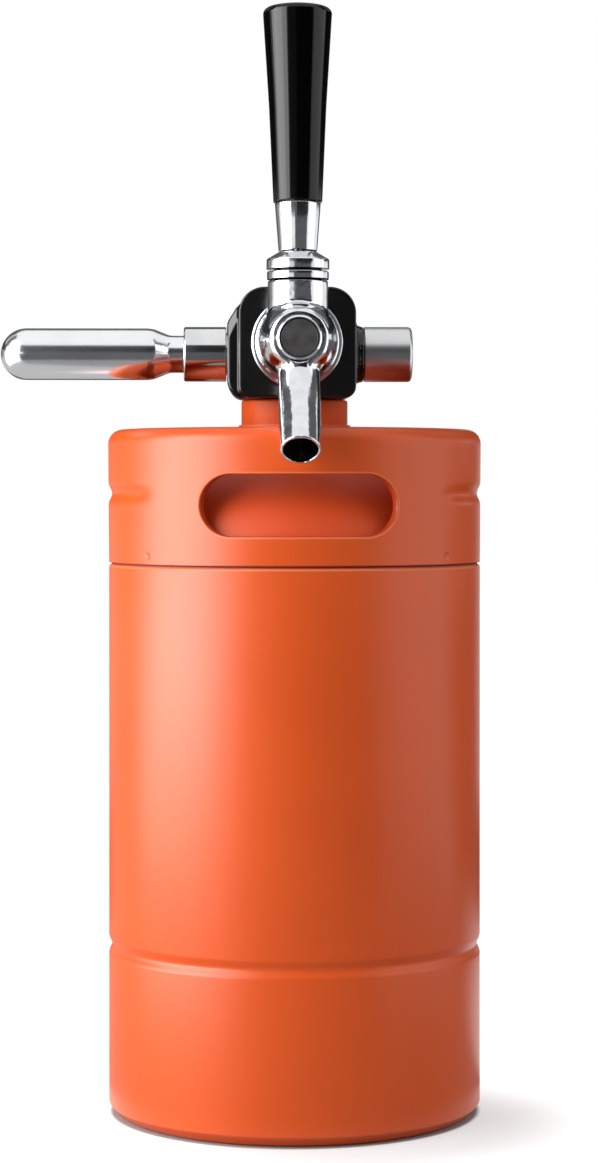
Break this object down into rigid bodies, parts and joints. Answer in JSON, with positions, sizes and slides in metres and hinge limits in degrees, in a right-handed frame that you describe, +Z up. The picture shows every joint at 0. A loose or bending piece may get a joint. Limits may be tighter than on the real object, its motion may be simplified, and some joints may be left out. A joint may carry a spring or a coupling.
{
  "type": "mini keg beer dispenser",
  "caption": "Double-walled mini keg with a screw-in dispensing head: gas cartridge, regulator knob and a lever tap with a slanted spout.",
  "frame": {"origin": "middle of the flat base, on the surface that the keg stands on", "axes": "+Z up along the keg's axis, -Y towards the tap and its spout, -X towards the gas cartridge, +X towards the regulator knob"},
  "size_m": [0.2045, 0.1835, 0.4619],
  "materials": {
    "powder_coat": "satin orange powder coat",
    "bare_steel": "bare stainless steel",
    "polished_steel": "polished stainless steel",
    "cartridge_steel": "bright drawn steel",
    "knob_steel": "satin turned steel",
    "tap_chrome": "mirror chrome",
    "brass_parts": "turned brass",
    "head_black": "gloss black",
    "handle_black": "high-gloss black",
    "plug_grey": "dark grey satin",
    "seal_rubber": "black rubber",
    "white_plastic": "white plastic"
  },
  "bodies": {
    "keg": {"outer_shell": "powder_coat", "base_cup": "powder_coat", "inner_vessel": "bare_steel", "neck_ring": "powder_coat", "top_collar": "powder_coat"},
    "dispensing_head": {"head_body": "head_black", "neck_gasket": "seal_rubber", "dip_tube": "bare_steel", "dip_tube_seal": "seal_rubber", "gas_check_valve": "seal_rubber", "cartridge_socket": "polished_steel", "cartridge_seal": "seal_rubber", "pierce_pin": "bare_steel", "regulator_seat": "white_plastic", "regulator_piston": "brass_parts", "piston_ring": "seal_rubber", "regulator_spring": "bare_steel", "knob_bushing": "brass_parts", "tap_shank": "bare_steel", "coupling_nut": "tap_chrome", "tap_body": "tap_chrome", "front_plug": "plug_grey", "ball_washer": "white_plastic", "lever_bonnet": "tap_chrome", "bonnet_lock_ring": "tap_chrome"},
    "cartridge": {"gas_cartridge": "cartridge_steel"},
    "knob": {"regulator_knob": "knob_steel", "adjusting_screw": "bare_steel"},
    "follower": {"spring_follower": "brass_parts"},
    "lever": {"lever_stem": "bare_steel", "handle_ferrule": "tap_chrome", "handle_insert": "brass_parts", "tap_handle": "handle_black"},
    "valve": {"valve_shaft": "bare_steel", "valve_seal": "seal_rubber", "seal_nut": "bare_steel"}
  },
  "joints": [
    {"name": "head_lift", "type": "slide", "parent": "keg", "child": "dispensing_head", "axis": [0, 0, 1], "range_m": [0, 0.3]},
    {"name": "cartridge_unscrew", "type": "slide", "parent": "dispensing_head", "child": "cartridge", "axis": [-1, 0, 0], "range_m": [0, 0.03]},
    {"name": "knob_turn", "type": "hinge", "parent": "dispensing_head", "child": "knob", "pos_m": [0.04, 0, 0.32176], "axis": [-1, 0, 0], "range_deg": [0, 540]},
    {"name": "follower_travel", "type": "slide", "parent": "dispensing_head", "child": "follower", "axis": [-1, 0, 0], "range_m": [0, 0.0019], "deforming": ["regulator_spring"]},
    {"name": "tap_pull", "type": "hinge", "parent": "dispensing_head", "child": "lever", "pos_m": [0, -0.057, 0.34396], "axis": [1, 0, 0], "range_deg": [0, 20]},
    {"name": "valve_travel", "type": "slide", "parent": "dispensing_head", "child": "valve", "axis": [0, 1, 0], "range_m": [0, 0.0067]}
  ],
  "couplings": [
    {"joint": "follower_travel", "follows": "knob_turn", "m_per_rad": 0.00019894},
    {"joint": "valve_travel", "follows": "tap_pull", "m_per_rad": 0.019}
  ]
}
